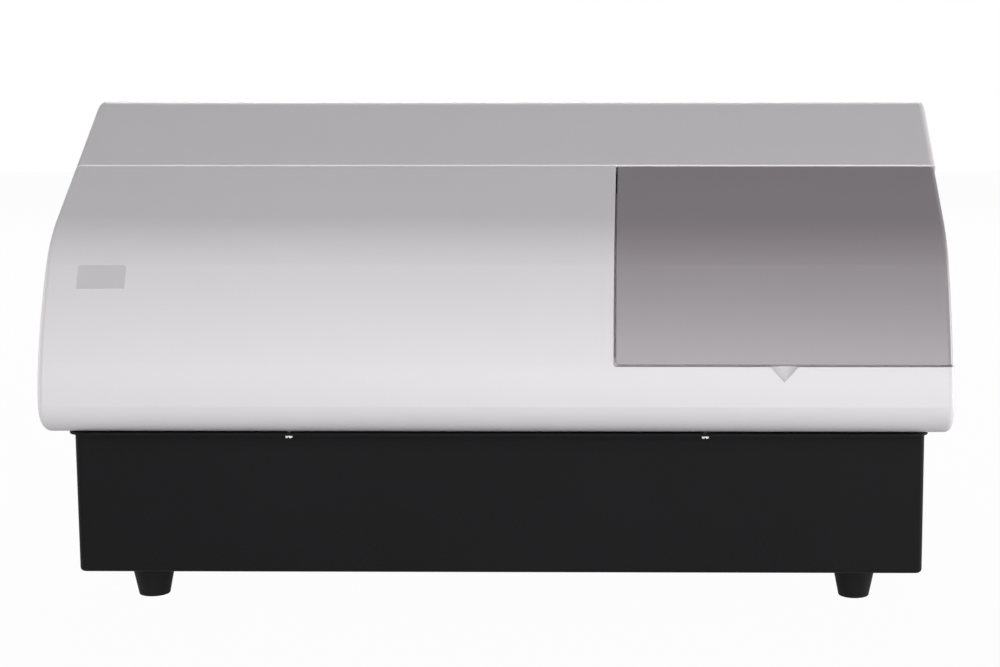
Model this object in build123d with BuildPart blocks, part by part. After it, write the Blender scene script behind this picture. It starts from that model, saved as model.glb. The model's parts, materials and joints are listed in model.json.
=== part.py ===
"""Bench-top microplate reader: a wedge-fronted moulded housing on a black sheet-steel tray.

The row frame is +X to the operator's right, +Y towards the back and +Z up, with the origin on
the bench under the middle of the instrument. All sizes are in millimetres.

Outside: four rubber feet, the tray and its rear panel, the front hood, the rear cover and the
grey lid over the loading bay. Inside: a bench plate carries two guide rods, the plate carriage
with its belt drive, the eight-channel optical arm and detector, and the lamp and filter unit.
"""

import os
from math import asin, cos, degrees, pi, radians, sin, sqrt, tan

from build123d import *

# ---------------------------------------------------------------- overall size
width = 434.6
depth = 320.0
height = 245.6
front = -depth / 2
rear = depth / 2

# ---------------------------------------------------------------- clearances
running_gap = 0.05  # radial, shaft in bush
seat_gap = 0.02  # radial, pressed pin or bush in its seat
lay_gap = 0.3  # between pieces that lie on each other on different bodies
slide_gap = 0.5  # between a pocket and what drops into it

# ---------------------------------------------------------------- housing profile
shell_wall = 3.0
skirt_z = 87.9  # underside of the moulded housing
chin_radius = 14.0  # front lower edge
front_radii = (84.0, 200.0, 62.0)  # three tangent arcs up the front
front_leans = (14.0, 28.0, 53.7)  # lean from upright, in degrees, where each arc ends
crest_radius = 15.0
back_top_radius = 12.0
heel_radius = 6.0  # rear lower edge
least_radius = 0.3
side_radius = 3.5  # long edges of the two side faces
slope_lean = front_leans[-1]

# ---------------------------------------------------------------- seams and lid
cover_front = front + 72.0  # front edge of the rear cover
seam_gap = 0.3
seam_round = 0.4  # rounding of the moulded edges along the seams
window_corner = 1.6
lid_round = 0.5
lid_rear_gap = 0.4  # from the cover's front edge to the lid
window_left = 56.3  # left edge of the loading window
sill_z = 120.9  # lower edge of the loading window
lid_wall = 2.5
lid_recess = 0.7  # the lid lies this far below the surfaces around it
lid_side_gap = 0.9
lid_sill_gap = 0.5
barrel_radius = 3.0  # hinge barrel along the lid's rear edge
barrel_relief = 0.77  # clearance cut round the barrel under the cover's lip
barrel_setback = 2.71  # along the slope, from the cover's edge to the hinge axis
hinge_pin_radius = 1.0
hinge_pin_engagement = 12.0
hinge_lug_length = 8.0
lug_radius = 1.9  # of the cover's two hinge lugs
lug_gap = 0.4
ledge_wall = 2.0  # of the hood's rest under the lid
ledge_width = lid_side_gap + ledge_wall
light_trap = 4.0  # depth of the groove between the rest and the window's side
rib_wall = 2.0
hood_rib_depth = 6.0
hood_rib_xs = (-170.0, -105.0, -40.0, 25.0)
cover_rib_depth = 8.0
cover_rib_ys = (front + 150.0, front + 200.0, front + 250.0)
lid_rib_depth = 4.0
sill_lap = 4.0  # of the hood's sill up behind the lid
lid_rib_gap = 0.8  # from the lid's ribs to the rest and sill beside them
scoop_height = 7.3
scoop_half_angle = 53.5
scoop_tilt = 25.0  # of the scoop's cone out of the front
scoop_reach = 14.0

# ---------------------------------------------------------------- tray and feet
sheet = 1.2
foot_height = 16.3
foot_top_radius = 9.3
foot_bottom_radius = 7.2
foot_x = 175.5
foot_inset = 22.0  # from the tray's front or rear face to a foot's centre
foot_screw_radius = 2.0
foot_bore_radius = 4.0
tray_width = 413.0
front_overhang = 20.0
rear_overhang = 17.0
tray_lap = 4.5  # of the tray's walls up inside the housing
tray_bend = 2.0
rim_out = 0.8
rim_drop = 0.3  # from the housing's underside to the tray's rim
rim_corner = 11.0
tray_vent_y = front + 150.0
tray_vent_z = 38.0
tray_vent_pitch = 8.0
tray_vent_count = 14
tray_vent_slot = 2.6
tray_vent_height = 22.0
tray_flange = 12.0
tray_front = front + front_overhang
tray_rear = rear - rear_overhang
floor_z = foot_height
floor_top = floor_z + sheet
tray_top = skirt_z + tray_lap
tray_inner_x = tray_width / 2 - sheet

# ---------------------------------------------------------------- bench and carriage
bench_thickness = 4.0
bench_z = 60.0
bench_top = bench_z + bench_thickness
bench_half = 202.0
bench_front = tray_front + 3.5
bench_step_y = front + 144.0  # the bench's short right-hand part ends here
bench_rear = front + 255.0
bench_step_x = -20.0
post_radius = 5.0
post_screw_radius = 2.0

plate_length = 127.76  # microplate footprint
plate_width = 85.48
well_pitch = 9.0
row_count = 8
column_count = 12
plate_y = front + 72.0
load_x = (window_left + width / 2) / 2
optic_x = 0.0

rod_radius = 4.0
rod_rise = 40.0
rod_z = bench_top + rod_rise
rod_spread = 43.0  # each rod, from the plate's centre line
rod_block_length = 8.0
rod_block_width = 12.0
bush_radius = 5.5
bush_length = 18.0
bush_spread = 36.0
bush_housing = 14.0
bush_housing_length = 20.0
carriage_wall = 3.0
carriage_length = 140.0
carriage_width = 102.0
carriage_z = rod_z + bush_housing / 2
nest_wall_height = 5.0
nest_chamfer = 1.2
nest_ledge = 7.0  # the strip all round the nest that the plate's skirt rests on

# ---------------------------------------------------------------- belt drive
belt_pitch = 5.08
belt_width = 6.35
belt_back = 1.1
belt_tooth_height = 1.2
pulley_teeth = 10
pulley_flange_wall = 1.0
belt_y = front + 127.0
drive_x = -140.0
idler_x = 176.0
pulley_z = bench_top + 22.0
motor_size = 42.3
motor_length = 34.0
motor_shaft_radius = 2.5
bracket_wall = 3.0
belt_gap = 0.3

# ---------------------------------------------------------------- optics
arm_half = 12.0
arm_z = 142.0
arm_depth = 20.0
arm_nose = 38.0  # forwards from the plate's centre line
column_front = front + 136.0
column_depth = 20.0
lens_radius = 3.5
lens_wall = 0.8
lens_bottom = 133.0
guide_radius = 4.0
detector_top = carriage_z - 4.0
detector_half = 9.0
detector_reach = 35.5
board_wall = 1.6

beam_y = front + 212.0
wheel_radius = 36.0
wheel_wall = 6.0
filter_count = 8
filter_radius = 6.35
filter_circle = 26.0
wheel_z = bench_top + 62.0
beam_z = wheel_z + filter_circle
filter_motor_size = 35.0
filter_motor_length = 28.0
filter_plate_x = -121.0
lamp_box_front_x = -150.0
lamp_box_length = 45.0
lamp_box_width = 40.0

# ---------------------------------------------------------------- electronics
fan_size = 60.0
fan_depth = 15.0
fan_x = 20.0
fan_z = (floor_z + tray_top) / 2
fan_bore = 28.5
fan_hub = 13.0
blade_count = 7
inlet_x = 165.0
inlet_z = 56.0
switch_x = 122.0
fuse_x = 92.0
serial_x = -150.0
usb_x = -105.0


# ================================================================ helpers
def outward(lean):
    """Unit normal in (y, z) of a surface that leans back by this many degrees from upright."""
    return (-cos(radians(lean)), sin(radians(lean)))


def arc_chain():
    """The side profile's arcs as (centre y, centre z, radius, first lean, last lean)."""
    chin_centre = (front + chin_radius, skirt_z + chin_radius)
    arcs = [(*chin_centre, chin_radius, -90.0, 0.0)]
    point = (front, skirt_z + chin_radius)
    lean = 0.0
    for radius, next_lean in zip(front_radii, front_leans):
        out = outward(lean)
        centre = (point[0] - radius * out[0], point[1] - radius * out[1])
        arcs.append((*centre, radius, lean, next_lean))
        out = outward(next_lean)
        point = (centre[0] + radius * out[0], centre[1] + radius * out[1])
        lean = next_lean
    crest_z = height - crest_radius
    run = (crest_z + crest_radius * sin(radians(lean)) - point[1]) / cos(radians(lean))
    crest_y = point[0] + run * sin(radians(lean)) + crest_radius * cos(radians(lean))
    arcs.append((crest_y, crest_z, crest_radius, lean, 90.0))
    arcs.append((rear - back_top_radius, height - back_top_radius, back_top_radius, 90.0, 180.0))
    arcs.append((rear - heel_radius, skirt_z + heel_radius, heel_radius, 180.0, 270.0))
    return arcs


def profile_points(inset):
    """Start, middle and end of each arc of the side profile, moved inwards by inset.

    A square corner whose radius is used up by the inset keeps the least radius.
    """
    points = []
    for y, z, radius, first, last in arc_chain():
        r = max(radius - inset, least_radius)
        shift = r - (radius - inset)
        y -= shift * (outward(first)[0] + outward(last)[0])
        z -= shift * (outward(first)[1] + outward(last)[1])
        leans = (first, (first + last) / 2, last)
        points.append([(y + r * outward(a)[0], z + r * outward(a)[1]) for a in leans])
    return points


def profile_face(inset):
    """The closed side profile as a flat face, moved inwards by inset."""
    arcs = profile_points(inset)
    with BuildSketch(mode=Mode.PRIVATE) as sketch:
        with BuildLine():
            for here, following in zip(arcs, arcs[1:] + arcs[:1]):
                ThreePointArc(*here)
                if (Vector(*here[2]) - Vector(*following[0])).length > 1e-6:
                    Line(here[2], following[0])
        make_face()
    return sketch.sketch_local


def profile_prism(inset, x_from, x_to):
    """The side profile, moved inwards by inset, extruded between two X positions."""
    face = Plane.YZ.offset(x_from) * profile_face(inset)
    return extrude(face, amount=x_to - x_from, mode=Mode.PRIVATE)


def block(x_from, x_to, y_from, y_to, z_from, z_to):
    """A plain box between two corners."""
    return Pos((x_from + x_to) / 2, (y_from + y_to) / 2, (z_from + z_to) / 2) * Box(
        x_to - x_from, y_to - y_from, z_to - z_from, mode=Mode.PRIVATE
    )


def rod_x(radius, x_from, x_to, y, z):
    """A round bar along X."""
    return Pos((x_from + x_to) / 2, y, z) * Rot(0, 90, 0) * Cylinder(radius, x_to - x_from, mode=Mode.PRIVATE)


def rod_y(radius, y_from, y_to, x, z):
    """A round bar along Y."""
    return Pos(x, (y_from + y_to) / 2, z) * Rot(90, 0, 0) * Cylinder(radius, y_to - y_from, mode=Mode.PRIVATE)


def rod_z_bar(radius, z_from, z_to, x, y):
    """A round bar along Z."""
    return Pos(x, y, (z_from + z_to) / 2) * Cylinder(radius, z_to - z_from, mode=Mode.PRIVATE)


def band(outer_inset, inner_inset, x_from, x_to):
    """A strip that follows the inside of the housing's side profile."""
    return profile_prism(outer_inset, x_from, x_to) - profile_prism(inner_inset, x_from - 1, x_to + 1)


slope_out = outward(slope_lean)
slope_up = (sin(radians(slope_lean)), cos(radians(slope_lean)))


def skin_y(z):
    """Y of the front's first arc at a height."""
    lean = asin((z - skirt_z - chin_radius) / front_radii[0])
    return front + front_radii[0] * (1 - cos(lean))


def slope_z(y):
    """Height of the housing's sloping front face at a y on it."""
    end = profile_points(0.0)[3][2]
    return end[1] + (y - end[0]) / tan(radians(slope_lean))


def on_skin(edge, inset=0.0):
    """True if the middle of an edge lies on the side profile's front, moved inwards by inset."""
    middle = edge.position_at(0.5)
    for y, z, radius, first, last in arc_chain()[:5]:
        lean = degrees(asin(max(-1.0, min(1.0, (middle.Z - z) / (radius - inset)))))
        if abs(sqrt((middle.Y - y) ** 2 + (middle.Z - z) ** 2) - radius + inset) < 0.02 and middle.Y < y:
            if first - 1e-3 <= lean <= last + 1e-3:
                return True
    offset = (middle.Y - cover_front) * slope_out[0] + (middle.Z - slope_z(cover_front)) * slope_out[1]
    return abs(offset + inset) < 0.02


# The hinge axis lies under the cover's front edge, one barrel radius below the lid's surface.
hinge_depth = lid_recess + barrel_radius
hinge_y = cover_front - barrel_setback * slope_up[0] - hinge_depth * slope_out[0]
hinge_z = slope_z(cover_front) - barrel_setback * slope_up[1] - hinge_depth * slope_out[1]
lid_left = window_left + lid_side_gap
lid_right = width / 2 - lid_recess
lid_sill = sill_z + lid_sill_gap
hood_rear = cover_front - seam_gap
lid_rear = cover_front - lid_rear_gap
lug_left = window_left - hinge_lug_length
ear_right = lid_right - lid_wall - slide_gap
ear_left = ear_right - hinge_lug_length
barrel_right = ear_left - lay_gap

screw_x = 100.0
screw_inset = 13.0  # from the housing's front or rear to a housing screw
screw_radius = 1.25
screw_head_radius = 2.25
screw_head_height = 1.8
boss_radius = 3.6
boss_height = 10.0
screw_ys = (front + screw_inset, rear - screw_inset)

os.makedirs("parts", exist_ok=True)
written = []


def save(part, label):
    """Writes one sub-part's STEP file under its node name."""
    part.label = label
    export_step(part, f"parts/{label}.step")
    written.append(label)


# ================================================================ housing
# One hollow envelope, from which the hood and the rear cover are cut.
with BuildPart() as envelope:
    add(profile_prism(0.0, -width / 2, width / 2))
    end_faces = envelope.faces().filter_by(Axis.X).sort_by(Axis.X)
    fillet((end_faces[0].edges() + end_faces[-1].edges()), radius=side_radius)

cavity = profile_prism(shell_wall, -width / 2 + shell_wall, width / 2 - shell_wall)
tray_opening = block(
    -tray_width / 2 - slide_gap,
    tray_width / 2 + slide_gap,
    tray_front - slide_gap,
    tray_rear + slide_gap,
    skirt_z - 1,
    skirt_z + shell_wall + 1,
)

# ---------------------------------------------------------------- front hood
with BuildPart() as front_hood:
    add(envelope.part)
    add(block(-width, width, hood_rear, rear + 1, 0, height + 1), mode=Mode.SUBTRACT)
    add(block(window_left, width, front - 1, hood_rear + 1, sill_z, height + 1), mode=Mode.SUBTRACT)
    window_edge = front_hood.edges().filter_by(Axis.Y).filter_by(
        lambda e: abs(e.center().X - window_left) < 0.01 and abs(e.center().Z - sill_z) < 0.01)
    fillet(window_edge, radius=window_corner)
    seam_edges = front_hood.edges().filter_by(lambda e: on_skin(e) and (
        abs(e.center().Y - hood_rear) < 0.01 or abs(e.center().X - window_left) < 0.01
        or abs(e.center().Z - sill_z) < 0.01))
    fillet(seam_edges, radius=seam_round)
    add(cavity, mode=Mode.SUBTRACT)
    add(tray_opening, mode=Mode.SUBTRACT)
    # rest for the lid down the window's left side, and along the sill
    rest_depth = lid_recess + lid_wall + lay_gap
    rest_back = rest_depth + light_trap + ledge_wall
    rest = band(rest_depth, rest_back, window_left - shell_wall, window_left + ledge_width)
    rest_root = band(shell_wall - 0.1, rest_back, window_left - shell_wall, window_left)
    trap = band(lid_recess, rest_depth + light_trap, window_left, window_left + lid_side_gap)
    rest_span = block(-width, width, front, hinge_y - 7.0, sill_z - 6.0, height)
    add((rest + rest_root - trap) & rest_span)
    sill_root = band(shell_wall - 0.1, lid_recess + lid_wall + lay_gap + ledge_wall,
                     window_left - shell_wall, width / 2 - shell_wall + 0.1)
    add(sill_root & block(-width, width, front, front + 40.0, sill_z - 6.0, sill_z - 0.2))
    sill_lip = band(lid_recess + lid_wall + lay_gap, lid_recess + lid_wall + lay_gap + ledge_wall,
                    window_left - shell_wall, width / 2 - shell_wall - lid_recess - lay_gap)
    add(sill_lip & block(-width, width, front, front + 40.0, sill_z - 1.0, sill_z + sill_lap))
    # tongue that laps under the rear cover, short of the hinge lug
    tongue = band(shell_wall + 0.2, shell_wall + 2.2, -width / 2 + shell_wall,
                  window_left - hinge_lug_length - 4.0)
    add(tongue & block(-width, width, hood_rear - 8.0, cover_front + 6.0, sill_z, height))
    tongue_root = band(shell_wall - 0.1, shell_wall + 2.2, -width / 2 + shell_wall - 0.1,
                       window_left - hinge_lug_length - 4.0)
    add(tongue_root & block(-width, width, hood_rear - 8.0, hood_rear, sill_z, height))
    # the hood's skin thins over the cover's hinge lug
    lug_relief = rod_x(lug_radius + lug_gap, lug_left - 1.0, window_left + 1, hinge_y, hinge_z)
    add(lug_relief, mode=Mode.SUBTRACT)
    # stiffening ribs up the inside, left of the window
    for x in hood_rib_xs:
        add(band(shell_wall - 0.1, shell_wall + hood_rib_depth, x - rib_wall / 2, x + rib_wall / 2)
            & block(-width, width, front, hood_rear - 9.0, skirt_z + 12.0, height))
    # finger scoop under the middle of the lid's lower edge
    scoop_z = sill_z - scoop_height
    scoop_cone = Cone(0, scoop_reach * tan(radians(scoop_half_angle)), scoop_reach, mode=Mode.PRIVATE)
    scoop_at = Pos(load_x, skin_y(scoop_z), scoop_z) * Rot(scoop_tilt, 0, 0) * Pos(0, 0, scoop_reach / 2)
    scoop = scoop_at * scoop_cone & block(-width, width, front - 20, rear, skirt_z, sill_z + 0.1)
    add(scoop, mode=Mode.SUBTRACT)
    # two bosses for the screws that come up through the tray's flange
    for x in (-screw_x, screw_x):
        add(rod_z_bar(boss_radius, skirt_z + 1.0, skirt_z + boss_height, x, screw_ys[0]))
        add(rod_z_bar(screw_radius + seat_gap, skirt_z - 1, skirt_z + boss_height - 1, x, screw_ys[0]),
            mode=Mode.SUBTRACT)
save(front_hood.part, "front_hood")

# ---------------------------------------------------------------- rear cover
vent_count = 12
vent_pitch = 9.0
vent_slot = 3.0
vent_height = 34.0
vent_z = 190.0
vent_x = -120.0
with BuildPart() as rear_cover:
    add(envelope.part)
    add(block(-width, width, front - 1, cover_front, 0, height + 1), mode=Mode.SUBTRACT)
    fillet(rear_cover.faces().sort_by(Axis.Y)[0].edges(), radius=seam_round)
    add(cavity, mode=Mode.SUBTRACT)
    add(tray_opening, mode=Mode.SUBTRACT)
    # hinge lug at the lid's left end, under the hood's thinned skin
    lug = rod_x(lug_radius, lug_left, window_left, hinge_y, hinge_z)
    lug += block(lug_left, window_left, hinge_y, hinge_y + 9.0, hinge_z - lug_radius, hinge_z + 4.0)
    add(lug & profile_prism(0.5, lug_left - 1, window_left + 1))
    trough = barrel_radius + barrel_relief
    add(rod_x(trough, window_left + 0.01, width, hinge_y, hinge_z), mode=Mode.SUBTRACT)
    # lug inside the lid's right-hand end, on a gusset that clears the lid's sweep
    neck = block(ear_left, ear_right, hinge_y, hinge_y + 11.0, hinge_z - lug_radius, hinge_z + 0.8)
    gusset = block(ear_left, ear_right, hinge_y, hinge_y + 11.0, hinge_z - lug_radius, hinge_z + 13.0)
    gusset = gusset & profile_prism(0.5, ear_left - 1, ear_right + 1)
    gusset = gusset - rod_x(trough, ear_left - 1, ear_right + 1, hinge_y, hinge_z)
    add(rod_x(lug_radius, ear_left, ear_right, hinge_y, hinge_z) + neck + gusset)
    pin_hole = rod_x(hinge_pin_radius + seat_gap, lug_left + 1.0, ear_right - 1.0, hinge_y, hinge_z)
    add(pin_hole, mode=Mode.SUBTRACT)
    # stiffening ribs across the inside of the roof
    for y in cover_rib_ys:
        add(block(-width / 2 + shell_wall - 0.1, width / 2 - shell_wall + 0.1, y - rib_wall / 2,
                  y + rib_wall / 2,
                  height - shell_wall - cover_rib_depth, height - shell_wall + 0.1))
    # cooling slots above the lamp
    with Locations(Pos(vent_x, rear, vent_z)):
        with GridLocations(vent_pitch, 1.0, vent_count, 1):
            Box(vent_slot, 4 * shell_wall, vent_height, mode=Mode.SUBTRACT)
    for x in (-screw_x, screw_x):
        add(rod_z_bar(boss_radius, skirt_z + 1.0, skirt_z + boss_height, x, screw_ys[1]))
        add(rod_z_bar(screw_radius + seat_gap, skirt_z - 1, skirt_z + boss_height - 1, x, screw_ys[1]),
            mode=Mode.SUBTRACT)
save(rear_cover.part, "rear_cover")

# ---------------------------------------------------------------- lid
with BuildPart() as lid:
    add(profile_prism(lid_recess, lid_left, lid_right))
    lid_side = lid.faces().sort_by(Axis.X)[-1]
    fillet(lid_side.edges(), radius=side_radius - lid_recess)
    lid_form = lid.part
    add(block(0, width, front - 1, rear + 1, 0, lid_sill), mode=Mode.SUBTRACT)
    add(block(0, width, lid_rear, rear + 1, 0, height + 1), mode=Mode.SUBTRACT)
    lid_corners = lid.edges().filter_by(Axis.Y).filter_by(
        lambda e: abs(e.center().X - lid_left) < 0.01 and abs(e.center().Z - lid_sill) < 0.01)
    fillet(lid_corners, radius=window_corner)
    free_edges = lid.edges().filter_by(lambda e: on_skin(e, lid_recess) and (
        abs(e.center().X - lid_left) < 0.01 or abs(e.center().Z - lid_sill) < 0.01))
    fillet(free_edges, radius=lid_round)
    add(profile_prism(lid_recess + lid_wall, lid_left - 1, lid_right - lid_wall), mode=Mode.SUBTRACT)
    rib_left = window_left + ledge_width + lid_rib_gap
    rib_low = sill_z + sill_lap + lid_rib_gap
    lid_inner = lid_recess + lid_wall
    side_rib = band(lid_inner - 0.1, lid_inner + lid_rib_depth, rib_left, rib_left + rib_wall)
    add(side_rib & block(0, width, front, hinge_y - 12.0, rib_low, height))
    sill_rib = band(lid_inner - 0.1, lid_inner + lid_rib_depth, rib_left, lid_right - lid_wall)
    add(sill_rib & block(0, width, front, hinge_y, rib_low, rib_low + rib_wall))
    add(rod_x(barrel_radius, lid_left, barrel_right, hinge_y, hinge_z))
    add(rod_x(barrel_radius, lid_right - lid_wall, lid_right, hinge_y, hinge_z) & lid_form)
    add(rod_x(lug_radius + lug_gap, barrel_right, lid_right - lid_wall, hinge_y, hinge_z), mode=Mode.SUBTRACT)
    bore_ends = (lid_left + hinge_pin_engagement, barrel_right - hinge_pin_engagement)
    for x_from, x_to in ((lid_left - 1, bore_ends[0]), (bore_ends[1], barrel_right + lay_gap / 2)):
        add(rod_x(hinge_pin_radius + running_gap, x_from, x_to, hinge_y, hinge_z), mode=Mode.SUBTRACT)
save(lid.part, "lid")

with BuildPart() as lid_hinge_pins:
    add(rod_x(hinge_pin_radius, lug_left + 1.0, bore_ends[0] - lay_gap, hinge_y, hinge_z))
    add(rod_x(hinge_pin_radius, bore_ends[1] + lay_gap, ear_right - 1.0, hinge_y, hinge_z))
save(lid_hinge_pins.part, "lid_hinge_pins")


# ================================================================ tray, feet and screws
rim_top = skirt_z - rim_drop
base_tray_outline = fillet(
    block(-tray_width / 2, tray_width / 2, tray_front, tray_rear, floor_z,
          tray_top).edges().filter_by(Axis.Z),
    radius=side_radius,
)
with BuildPart() as base_tray:
    add(base_tray_outline)
    fillet(base_tray.faces().sort_by(Axis.Z)[0].edges(), radius=tray_bend)
    add(block(-tray_inner_x, tray_inner_x, tray_front + sheet, tray_rear - sheet, floor_top, tray_top + 1),
        mode=Mode.SUBTRACT)
    # intake slots in both side walls, under the bench
    with Locations(*[Pos(x, tray_vent_y, tray_vent_z) for x in (-tray_width / 2, tray_width / 2)]):
        with GridLocations(1.0, tray_vent_pitch, 1, tray_vent_count):
            Box(4 * sheet, tray_vent_slot, tray_vent_height, mode=Mode.SUBTRACT)
    foot_ys = (tray_front + foot_inset, tray_rear - foot_inset)
    foot_spots = [(x, y) for x in (-foot_x, foot_x) for y in foot_ys]
    for x, y in foot_spots:
        add(rod_z_bar(foot_screw_radius + seat_gap, 0, floor_top + 1, x, y), mode=Mode.SUBTRACT)
    # rear wall: fan opening and the sockets' cut-outs
    add(rod_y(fan_bore, tray_rear - 3, tray_rear + 1, fan_x, fan_z), mode=Mode.SUBTRACT)
    for x, half_x, half_z in ((inlet_x, 14.0, 12.0), (switch_x, 7.5, 11.0), (fuse_x, 7.0, 9.0),
                              (serial_x, 10.0, 5.5), (usb_x, 6.2, 5.6)):
        add(block(x - half_x, x + half_x, tray_rear - 3, tray_rear + 1, inlet_z - half_z, inlet_z + half_z),
            mode=Mode.SUBTRACT)
save(base_tray.part, "base_tray")

# Collar round the tray, on which the housing sits; the housing screws pass up through it.
with BuildPart() as tray_rim:
    add(block(-tray_width / 2 - rim_out, tray_width / 2 + rim_out, tray_front - tray_flange,
              tray_rear + tray_flange, rim_top - sheet, rim_top))
    fillet(tray_rim.edges().filter_by(Axis.Z), radius=rim_corner)
    add(base_tray_outline, mode=Mode.SUBTRACT)
    for y in screw_ys:
        for x in (-screw_x, screw_x):
            add(rod_z_bar(screw_radius + seat_gap, skirt_z - 5, skirt_z, x, y), mode=Mode.SUBTRACT)
save(tray_rim.part, "tray_rim")

foot_recess_z = 9.0
with BuildPart() as feet:
    with Locations(*[Pos(x, y, floor_z / 2) for x, y in foot_spots]):
        Cone(foot_bottom_radius, foot_top_radius, foot_height)
    for x, y in foot_spots:
        add(rod_z_bar(foot_bore_radius, -1, foot_recess_z, x, y), mode=Mode.SUBTRACT)
        add(rod_z_bar(foot_screw_radius + seat_gap, -1, floor_z + 1, x, y), mode=Mode.SUBTRACT)
save(feet.part, "feet")

with BuildPart() as foot_screws:
    for x, y in foot_spots:
        add(rod_z_bar(foot_screw_radius, foot_recess_z, floor_top + 5.0, x, y))
        add(rod_z_bar(foot_bore_radius - 0.6, foot_recess_z - 2.0, foot_recess_z, x, y))
        add(rod_z_bar(1.2, foot_recess_z - 3.0, foot_recess_z - 1.0, x, y), mode=Mode.SUBTRACT)
save(foot_screws.part, "foot_screws")

with BuildPart() as foot_nuts:
    with BuildSketch(Plane.XY.offset(floor_top)):
        with Locations(*foot_spots):
            RegularPolygon(4.0, 6)
            Circle(foot_screw_radius + seat_gap, mode=Mode.SUBTRACT)
    extrude(amount=3.2)
save(foot_nuts.part, "foot_nuts")

with BuildPart() as housing_screws:
    for y in screw_ys:
        for x in (-screw_x, screw_x):
            head_z = rim_top - sheet
            add(rod_z_bar(screw_radius, head_z, skirt_z + boss_height - 2, x, y))
            add(rod_z_bar(screw_head_radius, head_z - screw_head_height, head_z, x, y))
            slot = block(x - 0.4, x + 0.4, y - 3, y + 3, head_z - screw_head_height - 1, head_z - 1.1)
            add(slot, mode=Mode.SUBTRACT)
    rims = housing_screws.faces().filter_by(Axis.Z).group_by(Axis.Z)[0].edges().filter_by(GeomType.CIRCLE)
    fillet(rims, radius=0.5)
save(housing_screws.part, "housing_screws")

# ================================================================ bench, posts and rods
post_spots = [(-178.0, -128.0), (178.0, -128.0), (150.0, -24.0), (-194.0, 88.0), (-28.0, 88.0), (24.0, -24.0)]
with BuildPart() as bench_plate:
    add(block(-bench_half, bench_half, bench_front, bench_step_y, bench_z, bench_top))
    add(block(-bench_half, bench_step_x, bench_step_y - 1, bench_rear, bench_z, bench_top))
    for x, y in post_spots:
        add(rod_z_bar(post_screw_radius + seat_gap, bench_z - 1, bench_top + 1, x, y), mode=Mode.SUBTRACT)
save(bench_plate.part, "bench_plate")

with BuildPart() as bench_posts:
    for x, y in post_spots:
        add(rod_z_bar(post_radius, floor_top, bench_z, x, y))
        add(rod_z_bar(post_screw_radius + seat_gap, bench_z - 12, bench_z + 1, x, y), mode=Mode.SUBTRACT)
save(bench_posts.part, "bench_posts")

with BuildPart() as bench_screws:
    for x, y in post_spots:
        add(rod_z_bar(post_screw_radius, bench_z - 10, bench_top, x, y))
        add(rod_z_bar(3.6, bench_top, bench_top + 2.4, x, y))
        add(rod_z_bar(1.5, bench_top + 1.0, bench_top + 3, x, y), mode=Mode.SUBTRACT)
save(bench_screws.part, "bench_screws")

rod_half = 195.0
rod_ys = (plate_y - rod_spread, plate_y + rod_spread)
with BuildPart() as guide_rods:
    for y in rod_ys:
        add(rod_x(rod_radius, -rod_half, rod_half, y, rod_z))
save(guide_rods.part, "guide_rods")

with BuildPart() as rod_blocks:
    for y in rod_ys:
        for x in (-rod_half, rod_half - rod_block_length):
            add(block(x, x + rod_block_length, y - rod_block_width / 2, y + rod_block_width / 2,
                      bench_top, rod_z + rod_block_width / 2))
            add(rod_x(rod_radius + seat_gap, x - 1, x + rod_block_length + 1, y, rod_z), mode=Mode.SUBTRACT)
save(rod_blocks.part, "rod_blocks")

# ================================================================ carriage
nest_half_x = plate_length / 2 + slide_gap
nest_half_y = plate_width / 2 + slide_gap
deck_top = carriage_z + carriage_wall
belt_in = pulley_teeth * belt_pitch / (2 * pi) - 0.25 + belt_gap  # inside radius of the belt's wraps
clamp_x = 12.0
clamp_half_y = belt_width / 2 + belt_gap + 2.0
with BuildPart() as plate_carriage:
    add(block(load_x - carriage_length / 2, load_x + carriage_length / 2, plate_y - carriage_width / 2,
              plate_y + carriage_width / 2, carriage_z, deck_top + nest_wall_height))
    fillet(plate_carriage.edges().filter_by(Axis.Z), radius=4.0)
    add(block(load_x - nest_half_x, load_x + nest_half_x, plate_y - nest_half_y, plate_y + nest_half_y,
              deck_top, height), mode=Mode.SUBTRACT)
    add(block(load_x - nest_half_x + nest_ledge, load_x + nest_half_x - nest_ledge,
              plate_y - nest_half_y + nest_ledge, plate_y + nest_half_y - nest_ledge, 0, height),
        mode=Mode.SUBTRACT)
    chamfer(plate_carriage.faces().sort_by(Axis.Z)[-1].edges().filter_by(Axis.X), length=nest_chamfer)
    # finger notches in the nest's front and rear walls
    add(block(load_x - 14, load_x + 14, front, rear, deck_top, height), mode=Mode.SUBTRACT)
    for y in rod_ys:
        for x in (load_x - bush_spread, load_x + bush_spread):
            add(block(x - bush_housing_length / 2, x + bush_housing_length / 2, y - bush_housing / 2,
                      y + bush_housing / 2, rod_z - bush_housing / 2, carriage_z + 0.1))
            add(rod_x(bush_radius + seat_gap, x - bush_housing_length, x + bush_housing_length, y, rod_z),
                mode=Mode.SUBTRACT)
    add(block(load_x - clamp_x, load_x + clamp_x, plate_y + carriage_width / 2 - 1, belt_y + clamp_half_y,
              carriage_z, deck_top))
save(plate_carriage.part, "plate_carriage")

# Leaf spring in the nest's left wall, which presses the plate against the right one.
with BuildPart() as plate_spring:
    leaf_x = load_x - nest_half_x
    with BuildSketch(Plane.XY.offset(deck_top + 0.6)):
        with BuildLine():
            bow = ThreePointArc((leaf_x, plate_y - 16), (leaf_x + slide_gap - 0.1, plate_y), (leaf_x,
                plate_y + 16))
            Line(bow @ 1, (leaf_x, plate_y - 16))
        make_face()
    extrude(amount=nest_wall_height - 1.2)
save(plate_spring.part, "plate_spring")

with BuildPart() as carriage_bushes:
    for y in rod_ys:
        for x in (load_x - bush_spread, load_x + bush_spread):
            bush = rod_x(bush_radius, x - bush_length / 2, x + bush_length / 2, y, rod_z)
            add(bush - rod_x(rod_radius + running_gap, x - bush_length, x + bush_length, y, rod_z))
save(carriage_bushes.part, "carriage_bushes")

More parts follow.
